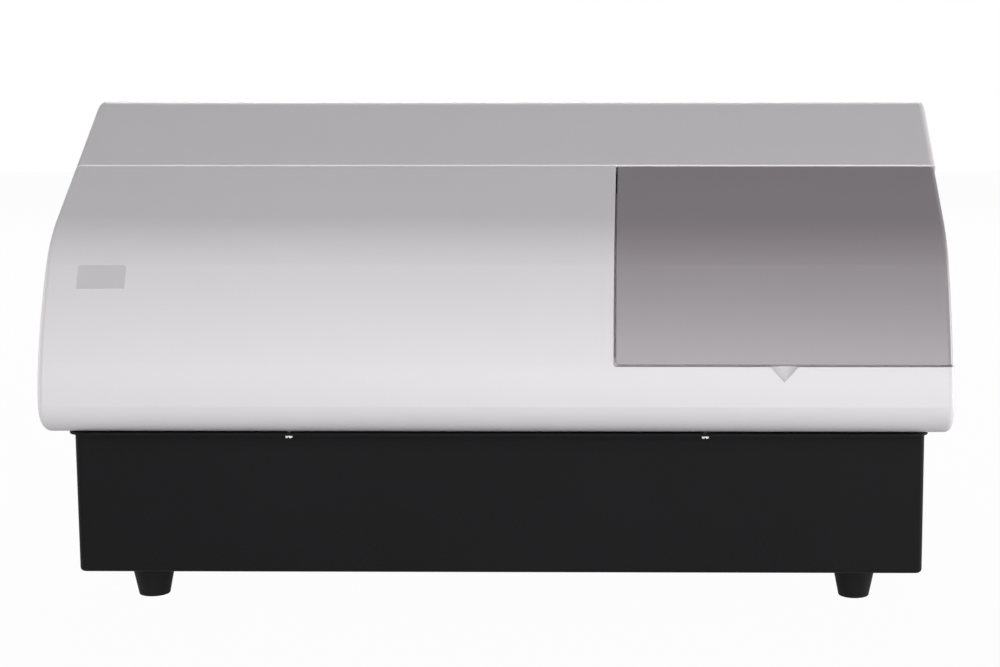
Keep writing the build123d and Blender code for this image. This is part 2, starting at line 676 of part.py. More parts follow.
belt_out = belt_in + belt_back
belt_tooth_in = belt_in - belt_tooth_height
with BuildPart() as belt_clamp:
    add(block(load_x - clamp_x, load_x + clamp_x, belt_y - clamp_half_y, belt_y + clamp_half_y,
              pulley_z + belt_tooth_in - belt_gap - 2.0, carriage_z))
    add(block(load_x - 2 * clamp_x, load_x + 2 * clamp_x, belt_y - belt_width / 2 - belt_gap,
              belt_y + belt_width / 2 + belt_gap, pulley_z + belt_tooth_in - belt_gap,
              pulley_z + belt_out + belt_gap), mode=Mode.SUBTRACT)
save(belt_clamp.part, "belt_clamp")

# ================================================================ belt drive
belt_half = belt_width / 2
with BuildPart() as timing_belt:
    for sign in (-1, 1):
        run_z = sorted((pulley_z + sign * belt_in, pulley_z + sign * belt_out))
        add(block(drive_x, idler_x, belt_y - belt_half, belt_y + belt_half, *run_z))
        tooth_z = sorted((pulley_z + sign * belt_tooth_in, pulley_z + sign * (belt_in + 0.1)))
        tooth_runs = int((idler_x - drive_x - 4 * belt_in) / belt_pitch)
        first = (drive_x + idler_x - tooth_runs * belt_pitch) / 2
        for i in range(tooth_runs + 1):
            x = first + i * belt_pitch
            add(block(x - 1.3, x + 1.3, belt_y - belt_half, belt_y + belt_half, *tooth_z))
    for x, side in ((drive_x, -1), (idler_x, 1)):
        ring = rod_y(belt_out, belt_y - belt_half, belt_y + belt_half, x, pulley_z)
        ring -= rod_y(belt_in, belt_y - belt_width, belt_y + belt_width, x, pulley_z)
        add(ring & block(*sorted((x, x + side * 20)), front, rear, 0, height))
save(timing_belt.part, "timing_belt")

pulley_land = belt_in - belt_gap
pulley_half = belt_half + belt_gap + pulley_flange_wall


def toothed_pulley(x, bore):
    """A flanged, grooved belt pulley on the belt's line at this X."""
    body = rod_y(pulley_land, belt_y - pulley_half, belt_y + pulley_half, x, pulley_z)
    for sign in (-1, 1):
        edges = sorted((belt_y + sign * pulley_half, belt_y + sign * (pulley_half - pulley_flange_wall)))
        body += rod_y(belt_in + belt_back + 0.8, *edges, x, pulley_z)
    inner = belt_half + belt_gap
    for i in range(pulley_teeth):
        turn = Pos(x, belt_y, pulley_z) * Rot(0, i * 360 / pulley_teeth, 0)
        body -= turn * Pos(pulley_land, 0, 0) * Box(2.4, 2 * inner, 2.6, mode=Mode.PRIVATE)
    return body - rod_y(bore, front, rear, x, pulley_z)


with BuildPart() as drive_pulley:
    add(toothed_pulley(drive_x, motor_shaft_radius + seat_gap))
save(drive_pulley.part, "drive_pulley")

with BuildPart() as idler_pulley:
    add(toothed_pulley(idler_x, motor_shaft_radius + running_gap))
save(idler_pulley.part, "idler_pulley")

bracket_y = belt_y + pulley_half + 2.0
with BuildPart() as idler_bracket:
    add(block(idler_x - 11, idler_x + 8, bracket_y, bracket_y + bracket_wall, bench_top, pulley_z + 11))
    add(rod_y(motor_shaft_radius + seat_gap, front, rear, idler_x, pulley_z), mode=Mode.SUBTRACT)
save(idler_bracket.part, "idler_bracket")

with BuildPart() as idler_pin:
    add(rod_y(motor_shaft_radius, belt_y - pulley_half - 0.6, bracket_y + bracket_wall, idler_x, pulley_z))
    add(rod_y(motor_shaft_radius + 1.5, belt_y - pulley_half - 1.6, belt_y - pulley_half - 0.5, idler_x,
              pulley_z))
    add(rod_y(motor_shaft_radius + 1.5, belt_y + pulley_half + 0.5, bracket_y, idler_x, pulley_z))
save(idler_pin.part, "idler_pin")

motor_y = bracket_y + bracket_wall
motor_half = motor_size / 2
with BuildPart() as motor_bracket:
    add(block(drive_x - motor_half, drive_x + motor_half, bracket_y, motor_y, bench_top,
              pulley_z + motor_half))
    add(rod_y(12.0, front, rear, drive_x, pulley_z), mode=Mode.SUBTRACT)
save(motor_bracket.part, "motor_bracket")

with BuildPart() as drive_motor:
    add(block(drive_x - motor_half, drive_x + motor_half, motor_y, motor_y + motor_length,
              pulley_z - motor_half, pulley_z + motor_half))
    chamfer(drive_motor.edges().filter_by(Axis.Y), length=4.0)
    add(rod_y(11.0, motor_y - 2.0, motor_y + 1, drive_x, pulley_z))
    add(rod_y(motor_shaft_radius + running_gap, motor_y - 3, motor_y + 15, drive_x, pulley_z),
        mode=Mode.SUBTRACT)
save(drive_motor.part, "drive_motor")

motor_screw_pitch = 31.0
with BuildPart() as motor_screws:
    for x in (drive_x - motor_screw_pitch / 2, drive_x + motor_screw_pitch / 2):
        for z in (pulley_z - motor_screw_pitch / 2, pulley_z + motor_screw_pitch / 2):
            add(rod_y(2.7, bracket_y - 2.6, bracket_y, x, z))
            add(rod_y(1.2, bracket_y - 3.0, bracket_y - 1.2, x, z), mode=Mode.SUBTRACT)
save(motor_screws.part, "motor_screws")

with BuildPart() as drive_shaft:
    add(rod_y(motor_shaft_radius, belt_y - pulley_half - 1, motor_y + 14, drive_x, pulley_z))
save(drive_shaft.part, "drive_shaft")

# ================================================================ eight-channel optics
channel_ys = [plate_y + (i - (row_count - 1) / 2) * well_pitch for i in range(row_count)]
arm_top = arm_z + arm_depth
with BuildPart() as optics_arm:
    add(block(-arm_half, arm_half, column_front, column_front + column_depth, bench_top, arm_top))
    add(block(-arm_half, arm_half, plate_y - arm_nose, column_front + 1, arm_z, arm_top))
    fillet(optics_arm.edges().filter_by(Axis.X).group_by(Axis.Y)[0], radius=6.0)
    for y in channel_ys:
        add(rod_z_bar(lens_radius + seat_gap, arm_z - 1, arm_z + 10, 0, y), mode=Mode.SUBTRACT)
    guide_seat = rod_y(guide_radius + seat_gap, column_front + 6, column_front + column_depth + 1, 0,
                       arm_top - 10)
    add(guide_seat, mode=Mode.SUBTRACT)
save(optics_arm.part, "optics_arm")

with BuildPart() as light_tubes:
    for y in channel_ys:
        add(rod_z_bar(lens_radius, lens_bottom, arm_z + 9, 0, y))
        add(rod_z_bar(lens_radius - lens_wall, lens_bottom + 1.5, arm_z + 10, 0, y), mode=Mode.SUBTRACT)
save(light_tubes.part, "light_tubes")

with BuildPart() as detector_board:
    add(block(-16, 16, plate_y - detector_reach - 3, plate_y + detector_reach + 3, bench_top,
              bench_top + board_wall))
save(detector_board.part, "detector_board")

with BuildPart() as detector_block:
    add(block(-detector_half, detector_half, plate_y - detector_reach, plate_y + detector_reach,
              bench_top + board_wall, detector_top))
    for y in channel_ys:
        add(rod_z_bar(lens_radius + seat_gap, detector_top - 8, detector_top + 1, 0, y), mode=Mode.SUBTRACT)
save(detector_block.part, "detector_block")

with BuildPart() as detector_lenses:
    for y in channel_ys:
        add(rod_z_bar(lens_radius, detector_top - 8, detector_top + 1.0, 0, y))
save(detector_lenses.part, "detector_lenses")

# ================================================================ lamp and filter wheel
with BuildPart() as filter_plate:
    add(block(filter_plate_x, filter_plate_x + 3, beam_y - 30, beam_y + 30, bench_top, beam_z + 12))
    add(block(filter_plate_x + 2, filter_plate_x + 18, beam_y - 30, beam_y + 30, bench_top, bench_top + 3))
    add(rod_x(guide_radius + seat_gap, filter_plate_x - 1, filter_plate_x + 4, beam_y, beam_z),
        mode=Mode.SUBTRACT)
    add(rod_x(5.0, filter_plate_x - 1, filter_plate_x + 4, beam_y, wheel_z), mode=Mode.SUBTRACT)
save(filter_plate.part, "filter_plate")

with BuildPart() as filter_motor:
    add(rod_x(filter_motor_size / 2, filter_plate_x + 3, filter_plate_x + 3 + filter_motor_length, beam_y,
              wheel_z))
    shaft_bore = rod_x(2.0 + running_gap, filter_plate_x, filter_plate_x + 18, beam_y, wheel_z)
    add(shaft_bore, mode=Mode.SUBTRACT)
save(filter_motor.part, "filter_motor")

wheel_right = filter_plate_x - 3.0
with BuildPart() as filter_wheel:
    add(rod_x(wheel_radius, wheel_right - wheel_wall, wheel_right, beam_y, wheel_z))
    add(rod_x(8.0, wheel_right - wheel_wall - 3, wheel_right, beam_y, wheel_z))
    filter_spots = []
    for i in range(filter_count):
        angle = 2 * pi * i / filter_count
        filter_spots.append((beam_y + filter_circle * sin(angle), wheel_z + filter_circle * cos(angle)))
    for y, z in filter_spots:
        add(rod_x(filter_radius + seat_gap, wheel_right - wheel_wall - 1, wheel_right + 1, y, z),
            mode=Mode.SUBTRACT)
    add(rod_x(2.0 + seat_gap, wheel_right - 20, wheel_right + 1, beam_y, wheel_z), mode=Mode.SUBTRACT)
save(filter_wheel.part, "filter_wheel")

with BuildPart() as filters:
    for y, z in filter_spots:
        add(rod_x(filter_radius, wheel_right - wheel_wall + 1, wheel_right - 1, y, z))
save(filters.part, "filters")

with BuildPart() as filter_shaft:
    add(rod_x(2.0, wheel_right - wheel_wall - 3, filter_plate_x + 16, beam_y, wheel_z))
save(filter_shaft.part, "filter_shaft")

lamp_box_x = lamp_box_front_x - lamp_box_length
lamp_x = lamp_box_x + lamp_box_length / 2
lamp_top = beam_z + 22.0
with BuildPart() as lamp_housing:
    add(block(lamp_box_x, lamp_box_front_x, beam_y - lamp_box_width / 2, beam_y + lamp_box_width / 2,
              bench_top, lamp_top))
    add(block(lamp_box_x + 2, lamp_box_front_x - 2, beam_y - lamp_box_width / 2 + 2,
              beam_y + lamp_box_width / 2 - 2, bench_top - 1, lamp_top - 2), mode=Mode.SUBTRACT)
    add(rod_x(8.0 + seat_gap, lamp_x, lamp_box_front_x + 1, beam_y, beam_z), mode=Mode.SUBTRACT)
    for i in range(5):
        slot_x = lamp_box_x + 6.5 + i * 8.0
        add(block(slot_x - 1.5, slot_x + 1.5, beam_y - 14, beam_y + 14, lamp_top - 5, lamp_top + 1),
            mode=Mode.SUBTRACT)
save(lamp_housing.part, "lamp_housing")

with BuildPart() as lamp_holder:
    add(block(lamp_x - 8, lamp_x + 8, beam_y - 8, beam_y + 8, bench_top, beam_z - 16))
    add(rod_z_bar(1.0 + seat_gap, beam_z - 24, beam_z - 15, lamp_x, beam_y - 3), mode=Mode.SUBTRACT)
    add(rod_z_bar(1.0 + seat_gap, beam_z - 24, beam_z - 15, lamp_x, beam_y + 3), mode=Mode.SUBTRACT)
save(lamp_holder.part, "lamp_holder")

with BuildPart() as halogen_lamp:
    add(rod_z_bar(5.5, beam_z - 14, beam_z + 4, lamp_x, beam_y))
    fillet(halogen_lamp.faces().sort_by(Axis.Z)[-1].edges(), radius=4.0)
    add(block(lamp_x - 3, lamp_x + 3, beam_y - 5, beam_y + 5, beam_z - 16, beam_z - 13))
    for y in (beam_y - 3, beam_y + 3):
        add(rod_z_bar(1.0, beam_z - 23, beam_z - 15, lamp_x, y))
save(halogen_lamp.part, "halogen_lamp")

with BuildPart() as condenser_lens:
    add(rod_x(8.0, lamp_box_front_x - 3, lamp_box_front_x + 3, beam_y, beam_z))
    fillet(condenser_lens.faces().sort_by(Axis.X)[-1].edges(), radius=2.5)
save(condenser_lens.part, "condenser_lens")

guide_bend = 26.0
with BuildPart() as light_guide:
    with BuildLine():
        leg = Line((filter_plate_x, beam_y, beam_z), (-guide_bend, beam_y, beam_z))
        turn = TangentArc(leg @ 1, (0, beam_y - guide_bend, beam_z), tangent=leg % 1)
        Line(turn @ 1, (0, column_front + 7, beam_z))
    with BuildSketch(Plane.YZ.offset(filter_plate_x)):
        with Locations((beam_y, beam_z)):
            Circle(guide_radius)
    sweep()
save(light_guide.part, "light_guide")

# ================================================================ electronics
board_z = floor_top + 8.0
board_span = (-185.0, -45.0, -95.0, 60.0)
board_spots = [(x, y) for x in (board_span[0] + 6, board_span[1] - 6) for y in (board_span[2] + 6,
    board_span[3] - 6)]
with BuildPart() as main_board:
    add(block(*board_span, board_z, board_z + board_wall))
    for x, y in board_spots:
        add(rod_z_bar(1.6, board_z - 1, board_z + 3, x, y), mode=Mode.SUBTRACT)
save(main_board.part, "main_board")

with BuildPart() as board_standoffs:
    for x, y in board_spots:
        add(rod_z_bar(3.5, floor_top, board_z, x, y))
        add(rod_z_bar(1.5, board_z - 1, board_z + board_wall + 1.5, x, y))
        add(rod_z_bar(3.0, board_z + board_wall, board_z + board_wall + 1.8, x, y))
save(board_standoffs.part, "board_standoffs")

chip_spots = [(-150, -60, 14, 14), (-110, -60, 10, 7), (-80, -60, 10, 7), (-150, -20, 7, 12), (-110, -15, 12,
    12),
              (-70, -10, 7, 7), (-150, 25, 16, 6), (-100, 30, 10, 5), (-68, 35, 12, 6)]
with BuildPart() as board_chips:
    for x, y, half_x, half_y in chip_spots:
        add(block(x - half_x, x + half_x, y - half_y, y + half_y, board_z + board_wall,
                  board_z + board_wall + 3.2))
save(board_chips.part, "board_chips")

connector_spots = [(-176, -70), (-176, -30), (-176, 10), (-54, -70), (-54, 10)]
with BuildPart() as board_connectors:
    for x, y in connector_spots:
        add(block(x - 3.0, x + 3.0, y - 11.0, y + 11.0, board_z + board_wall, board_z + board_wall + 8.5))
        add(block(x - 1.6, x + 1.6, y - 9.6, y + 9.6, board_z + board_wall + 2.0, board_z + board_wall + 9.0),
            mode=Mode.SUBTRACT)
save(board_connectors.part, "board_connectors")

with BuildPart() as power_supply:
    add(block(70, 190, -5, 90, floor_top, floor_top + 38))
    chamfer(power_supply.edges().filter_by(Axis.Z), length=1.5)
    with Locations(Pos(130, 42.5, floor_top + 38)):
        with GridLocations(9.0, 1.0, 10, 1):
            Box(3.0, 60.0, 4.0, mode=Mode.SUBTRACT)
save(power_supply.part, "power_supply")

fan_front = tray_rear - sheet - fan_depth
with BuildPart() as fan_frame:
    add(block(fan_x - fan_size / 2, fan_x + fan_size / 2, fan_front, fan_front + fan_depth,
              fan_z - fan_size / 2, fan_z + fan_size / 2))
    fillet(fan_frame.edges().filter_by(Axis.Y), radius=3.0)
    add(rod_y(fan_bore, front, rear, fan_x, fan_z), mode=Mode.SUBTRACT)
    add(rod_y(fan_hub, fan_front, fan_front + 2.5, fan_x, fan_z))
    for i in range(3):
        strut = Box(fan_bore + 1, 2.5, 3.0, mode=Mode.PRIVATE)
        add(Pos(fan_x, fan_front + 1.25, fan_z) * Rot(0, 90 + i * 120, 0) * Pos((fan_bore + 1) / 2, 0,
            0) * strut)
    add(rod_y(1.5 + running_gap, fan_front + 1, fan_front + 5, fan_x, fan_z), mode=Mode.SUBTRACT)
save(fan_frame.part, "fan_frame")

blade_tip = fan_bore - 1.0
with BuildPart() as fan_rotor:
    add(rod_y(fan_hub, fan_front + 3.2, fan_front + fan_depth - 1, fan_x, fan_z))
    fillet(fan_rotor.faces().sort_by(Axis.Y)[-1].edges(), radius=1.5)
    for i in range(blade_count):
        blade = Box(blade_tip - fan_hub + 2, 1.2, 13.0, mode=Mode.PRIVATE)
        at = Pos(fan_x, fan_front + 8.7, fan_z) * Rot(0, i * 360 / blade_count, 0)
        add(at * Pos((blade_tip + fan_hub) / 2 - 1.2, 0, 0) * Rot(40, 0, 0) * blade)
    add(rod_y(1.5, fan_front + 1.2, fan_front + 5, fan_x, fan_z))
    add(rod_y(blade_tip, fan_front, rear, fan_x, fan_z), mode=Mode.INTERSECT)
save(fan_rotor.part, "fan_rotor")

with BuildPart() as fan_guard:
    for radius in (10.0, 18.0, 26.0):
        ring = rod_y(radius + 0.7, tray_rear, tray_rear + 1.4, fan_x, fan_z)
        add(ring - rod_y(radius - 0.7, tray_rear - 1, tray_rear + 3, fan_x, fan_z))
    for i in range(4):
        wire = Box(62.0, 1.4, 1.4, mode=Mode.PRIVATE)
        add(Pos(fan_x, tray_rear + 0.7, fan_z) * Rot(0, i * 45, 0) * wire)
save(fan_guard.part, "fan_guard")

# ---------------------------------------------------------------- rear sockets
inlet_depth = 25.0
with BuildPart() as mains_inlet:
    add(block(inlet_x - 13.9, inlet_x + 13.9, tray_rear - inlet_depth, tray_rear, inlet_z - 11.9,
              inlet_z + 11.9))
    add(block(inlet_x - 17, inlet_x + 17, tray_rear, tray_rear + 2.5, inlet_z - 15, inlet_z + 15))
    with BuildSketch(Plane.XZ.offset(-tray_rear - 3)):
        with Locations((inlet_x, inlet_z)):
            RectangleRounded(24.0, 17.0, 2.0)
    extrude(amount=19.0, mode=Mode.SUBTRACT)
    for x, z in ((inlet_x - 7, inlet_z - 2), (inlet_x + 7, inlet_z - 2), (inlet_x, inlet_z + 2)):
        add(block(x - 1, x + 1, tray_rear - inlet_depth, tray_rear - 10, z - 2, z + 2), mode=Mode.SUBTRACT)
save(mains_inlet.part, "mains_inlet")

with BuildPart() as inlet_pins:
    for x, z in ((inlet_x - 7, inlet_z - 2), (inlet_x + 7, inlet_z - 2), (inlet_x, inlet_z + 2)):
        add(block(x - 1, x + 1, tray_rear - inlet_depth - 6, tray_rear - 4, z - 2, z + 2))
save(inlet_pins.part, "inlet_pins")

rocker_pivot_y = tray_rear + 1.0
rocker_half = 8.0
with BuildPart() as switch_frame:
    add(block(switch_x - 7.4, switch_x + 7.4, tray_rear - 14, tray_rear, inlet_z - 10.9, inlet_z + 10.9))
    add(block(switch_x - 9.5, switch_x + 9.5, tray_rear, tray_rear + 2.0, inlet_z - 13, inlet_z + 13))
    add(block(switch_x - 5.5, switch_x + 5.5, tray_rear - 9, tray_rear + 3, inlet_z - 9.2, inlet_z + 9.2),
        mode=Mode.SUBTRACT)
    add(rod_x(1.0 + running_gap, switch_x - 7, switch_x + 7, rocker_pivot_y, inlet_z), mode=Mode.SUBTRACT)
save(switch_frame.part, "switch_frame")

with BuildPart() as power_rocker:
    tilt = Plane(origin=(switch_x - 5.0, rocker_pivot_y, inlet_z), x_dir=(0, 1, 0), z_dir=(1, 0, 0))
    with BuildSketch(tilt):
        with BuildLine():
            Polyline((-3, -rocker_half), (3, -rocker_half), (1.4, 0), (3, rocker_half), (-3, rocker_half),
                     close=True)
        make_face()
    extrude(amount=10.0)
    add(rod_x(1.0, switch_x - 6.6, switch_x + 6.6, rocker_pivot_y, inlet_z))
rocker_off = power_rocker.part.rotate(Axis((0, rocker_pivot_y, inlet_z), (1, 0, 0)), -8.0)
save(rocker_off, "power_rocker")

with BuildPart() as fuse_drawer:
    add(block(fuse_x - 6.9, fuse_x + 6.9, tray_rear - 20, tray_rear, inlet_z - 8.9, inlet_z + 8.9))
    add(block(fuse_x - 8.5, fuse_x + 8.5, tray_rear, tray_rear + 3.0, inlet_z - 11, inlet_z + 11))
    add(block(fuse_x - 3, fuse_x + 3, tray_rear + 1.5, tray_rear + 4, inlet_z - 12, inlet_z - 7),
        mode=Mode.SUBTRACT)
save(fuse_drawer.part, "fuse_drawer")

with BuildPart() as serial_port:
    add(block(serial_x - 9.9, serial_x + 9.9, tray_rear - 10, tray_rear, inlet_z - 5.4, inlet_z + 5.4))
    add(block(serial_x - 15.4, serial_x + 15.4, tray_rear, tray_rear + 1.0, inlet_z - 6.2, inlet_z + 6.2))
    with BuildSketch(Plane.XZ.offset(-tray_rear)):
        with Locations((serial_x, inlet_z)):
            Trapezoid(17.0, 8.4, 80.0)
    extrude(amount=-6.0)
    for i in range(5):
        add(rod_y(0.7, tray_rear + 2, tray_rear + 7, serial_x + (i - 2) * 2.8, inlet_z - 1.4),
            mode=Mode.SUBTRACT)
    for i in range(4):
        add(rod_y(0.7, tray_rear + 2, tray_rear + 7, serial_x + (i - 1.5) * 2.8, inlet_z + 1.4),
            mode=Mode.SUBTRACT)
save(serial_port.part, "serial_port")

with BuildPart() as usb_port:
    add(block(usb_x - 6.1, usb_x + 6.1, tray_rear - 16, tray_rear + 1.5, inlet_z - 5.5, inlet_z + 5.5))
    add(block(usb_x - 4.4, usb_x + 4.4, tray_rear - 9, tray_rear + 2, inlet_z - 4.0, inlet_z + 4.0),
        mode=Mode.SUBTRACT)
    add(block(usb_x - 2.8, usb_x + 2.8, tray_rear - 10, tray_rear, inlet_z - 1.6, inlet_z + 1.6))
save(usb_port.part, "usb_port")
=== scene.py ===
import json
import math

import bmesh
import bpy
from mathutils import Matrix, Vector


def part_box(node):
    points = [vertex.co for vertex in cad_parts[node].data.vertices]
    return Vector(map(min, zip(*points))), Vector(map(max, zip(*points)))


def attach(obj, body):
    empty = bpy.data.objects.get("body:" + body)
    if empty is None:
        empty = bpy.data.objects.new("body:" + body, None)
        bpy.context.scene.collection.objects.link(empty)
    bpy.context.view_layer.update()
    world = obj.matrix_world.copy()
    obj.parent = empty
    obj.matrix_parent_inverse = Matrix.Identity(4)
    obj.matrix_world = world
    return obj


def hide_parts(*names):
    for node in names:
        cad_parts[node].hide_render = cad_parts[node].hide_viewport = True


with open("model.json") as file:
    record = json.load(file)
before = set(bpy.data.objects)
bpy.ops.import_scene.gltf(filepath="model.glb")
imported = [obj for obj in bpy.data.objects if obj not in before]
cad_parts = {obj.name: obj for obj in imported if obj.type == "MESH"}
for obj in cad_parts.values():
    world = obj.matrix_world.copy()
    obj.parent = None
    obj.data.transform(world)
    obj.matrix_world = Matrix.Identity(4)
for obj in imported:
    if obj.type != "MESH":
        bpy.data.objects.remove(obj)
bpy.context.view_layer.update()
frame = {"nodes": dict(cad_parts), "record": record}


# ---------------------------------------------------------------- camera
def camera():
    """The photograph's view: slightly above the front, right of the middle, with the frame shifted."""
    focal_length, frame_shift = 64.8, -0.1276
    place = Vector((0.0727, -0.9981, 0.2418))
    yaw, pitch, roll = -0.01165, 0.12447, -0.00056
    data = bpy.data.cameras.new("camera")
    data.sensor_width = 36.0
    data.lens = focal_length
    data.shift_x = frame_shift
    data.clip_end = 50.0
    eye = bpy.data.objects.new("camera", data)
    bpy.context.scene.collection.objects.link(eye)
    ahead = Vector((math.sin(yaw) * math.cos(pitch), math.cos(yaw) * math.cos(pitch), -math.sin(pitch)))
    right = Vector((math.cos(yaw), -math.sin(yaw), 0.0))
    up = right.cross(ahead)
    right, up = right * math.cos(roll) + up * math.sin(roll), up * math.cos(roll) - right * math.sin(roll)
    turn = Matrix((right, up, -ahead)).transposed()
    eye.matrix_world = Matrix.Translation(place) @ turn.to_4x4()
    bpy.context.scene.camera = eye


camera()


# ---------------------------------------------------------------- materials
mottle_scale = 14.0  # patches per metre in the slow mottling
relief_depth = 0.0002
glass_ior = 1.5


def node(tree, kind, at, **values):
    """A new shader node, with its settings and input values given by name."""
    new = tree.nodes.new(kind)
    new.location = at
    for key, value in values.items():
        if hasattr(new, key) and key not in new.inputs:
            setattr(new, key, value)
        else:
            new.inputs[key].default_value = value
    return new


def finish(name, colour, rough, metal=0.0, grain=1500.0, bump=0.15, mottle=0.03, rough_swing=0.05,
           stretch=(1, 1, 1), specular=0.5, coat=0.0, transmission=None):
    """A moulded, painted or metal finish: fine grain in the bump and the gloss, slow mottling in the colour."""
    mat = bpy.data.materials.new(name)
    mat.use_nodes = True
    tree = mat.node_tree
    tree.nodes.clear()
    out = node(tree, "ShaderNodeOutputMaterial", (700, 0))
    shader = node(tree, "ShaderNodeBsdfPrincipled", (400, 0))
    tree.links.new(shader.outputs[0], out.inputs[0])
    where = node(tree, "ShaderNodeTexCoord", (-900, 0))
    spread = node(tree, "ShaderNodeMapping", (-720, 0))
    spread.inputs["Scale"].default_value = stretch
    tree.links.new(where.outputs["Object"], spread.inputs["Vector"])
    slow = node(tree, "ShaderNodeTexNoise", (-500, 200))
    slow.inputs["Scale"].default_value = mottle_scale
    slow.inputs["Detail"].default_value = 5.0
    fine = node(tree, "ShaderNodeTexNoise", (-500, -200))
    fine.inputs["Scale"].default_value = grain
    fine.inputs["Detail"].default_value = 2.0
    for noise in (slow, fine):
        tree.links.new(spread.outputs[0], noise.inputs["Vector"])
    ramp = node(tree, "ShaderNodeValToRGB", (-250, 200))
    low = [c * (1 - mottle) for c in colour[:3]] + [1.0]
    high = [min(1.0, c * (1 + mottle)) for c in colour[:3]] + [1.0]
    ramp.color_ramp.elements[0].position = 0.3
    ramp.color_ramp.elements[0].color = low
    ramp.color_ramp.elements[1].position = 0.7
    ramp.color_ramp.elements[1].color = high
    tree.links.new(slow.outputs["Fac"], ramp.inputs[0])
    tree.links.new(ramp.outputs[0], shader.inputs["Base Color"])
    gloss = node(tree, "ShaderNodeMapRange", (-250, -50))
    gloss.inputs["To Min"].default_value = max(0.02, rough - rough_swing)
    gloss.inputs["To Max"].default_value = min(1.0, rough + rough_swing)
    tree.links.new(fine.outputs["Fac"], gloss.inputs["Value"])
    tree.links.new(gloss.outputs[0], shader.inputs["Roughness"])
    relief = node(tree, "ShaderNodeBump", (-50, -300))
    relief.inputs["Strength"].default_value = bump
    relief.inputs["Distance"].default_value = relief_depth
    tree.links.new(fine.outputs["Fac"], relief.inputs["Height"])
    tree.links.new(relief.outputs[0], shader.inputs["Normal"])
    shader.inputs["Metallic"].default_value = metal
    shader.inputs["Specular IOR Level"].default_value = specular
    shader.inputs["Coat Weight"].default_value = coat
    if transmission is not None:
        shader.inputs["Transmission Weight"].default_value = transmission
        shader.inputs["IOR"].default_value = glass_ior
    return mat


finishes = {
    "housing_white": finish("housing_white", (0.764, 0.734, 0.768), 0.47, grain=1700, bump=0.10, mottle=0.006,
                            specular=0.9),
    "lid_grey": finish("lid_grey", (0.312, 0.283, 0.305), 0.47, grain=1700, bump=0.12, mottle=0.008,
                       specular=1.15),
    "tray_black": finish("tray_black", (0.0087, 0.0085, 0.0095), 0.60, grain=1100, bump=0.35, mottle=0.05,
                         specular=0.09),
    "foot_rubber": finish("foot_rubber", (0.0105, 0.0100, 0.0108), 0.72, grain=900, bump=0.25, mottle=0.08,
                          specular=0.12),
    "steel": finish("steel", (0.55, 0.55, 0.56), 0.22, metal=1.0, grain=900, bump=0.05, stretch=(0.02, 1, 1)),
    # pin_steel: near-black pins, painted shade for the gap beside the lid
    "pin_steel": finish("pin_steel", (0.05, 0.05, 0.055), 0.42, metal=0.6, grain=900, bump=0.05),
    "nickel": finish("nickel", (0.72, 0.71, 0.69), 0.20, metal=1.0, grain=700, bump=0.04),
    "alloy": finish("alloy", (0.60, 0.61, 0.62), 0.36, metal=1.0, grain=1200, bump=0.08, stretch=(0.1, 1, 1)),
    "black_anodised": finish("black_anodised", (0.022, 0.022, 0.024), 0.42, grain=1300, bump=0.12),
    "bronze": finish("bronze", (0.50, 0.33, 0.15), 0.42, metal=1.0, grain=1000, bump=0.2, mottle=0.1),
    "belt_rubber": finish("belt_rubber", (0.018, 0.018, 0.018), 0.65, grain=900, bump=0.3),
    "black_plastic": finish("black_plastic", (0.018, 0.018, 0.020), 0.45, grain=1200, bump=0.15),
    "board_green": finish("board_green", (0.02, 0.13, 0.05), 0.30, grain=400, bump=0.1, mottle=0.25, coat=0.3),
    "clear_glass": finish("clear_glass", (0.92, 0.95, 0.96), 0.03, grain=200, bump=0.0, mottle=0.0,
                          transmission=1.0, rough_swing=0.01),
    "filter_glass": finish("filter_glass", (0.45, 0.16, 0.50), 0.05, grain=200, bump=0.0, mottle=0.02,
                           transmission=0.6, rough_swing=0.01),
    "zinc_steel": finish("zinc_steel", (0.56, 0.57, 0.56), 0.38, metal=1.0, grain=260, bump=0.06, mottle=0.12),
}
slots = {entry["node"]: entry["material_slot"] for entry in frame["record"]["subparts"]}
# The dark pin finish is painted shade: it keeps the gap beside the lid dark.
slots["lid_hinge_pins"] = "pin_steel"  # no bright pin shows in the gap beside the lid
for name, obj in frame["nodes"].items():
    for i in range(max(1, len(obj.material_slots))):
        if not obj.material_slots:
            obj.data.materials.append(finishes[slots[name]])
        else:
            obj.material_slots[i].link = "OBJECT"
            obj.material_slots[i].material = finishes[slots[name]]


def placed(name, mesh, material):
    """The finished bmesh as an object in the scene."""
    data = bpy.data.meshes.new(name)
    mesh.to_mesh(data)
    mesh.free()
    piece = bpy.data.objects.new(name, data)
    bpy.context.scene.collection.objects.link(piece)
    data.materials.append(material)
    return piece


# ---------------------------------------------------------------- blank badge at the hood's left
hood_front, arcs_base = -0.160, 0.1019
arcs = ((0.084, 0.0, 14.0), (0.200, 14.0, 28.0), (0.062, 28.0, 53.7))  # radius, first and last lean in degrees


def skin(z):
    """(y, lean) of the hood's front skin at a height on its arcs, in the row frame."""
    y, base = hood_front, arcs_base
    for radius, first, last in arcs:
        a, b = math.radians(first), math.radians(last)
        top = base + radius * (math.sin(b) - math.sin(a))
        if z <= top:
            lean = math.asin(math.sin(a) + (z - base) / radius)
            return y + radius * (math.cos(a) - math.cos(lean)), lean
        y += radius * (math.cos(a) - math.cos(b))
        base = top
    return y, math.radians(arcs[-1][2])


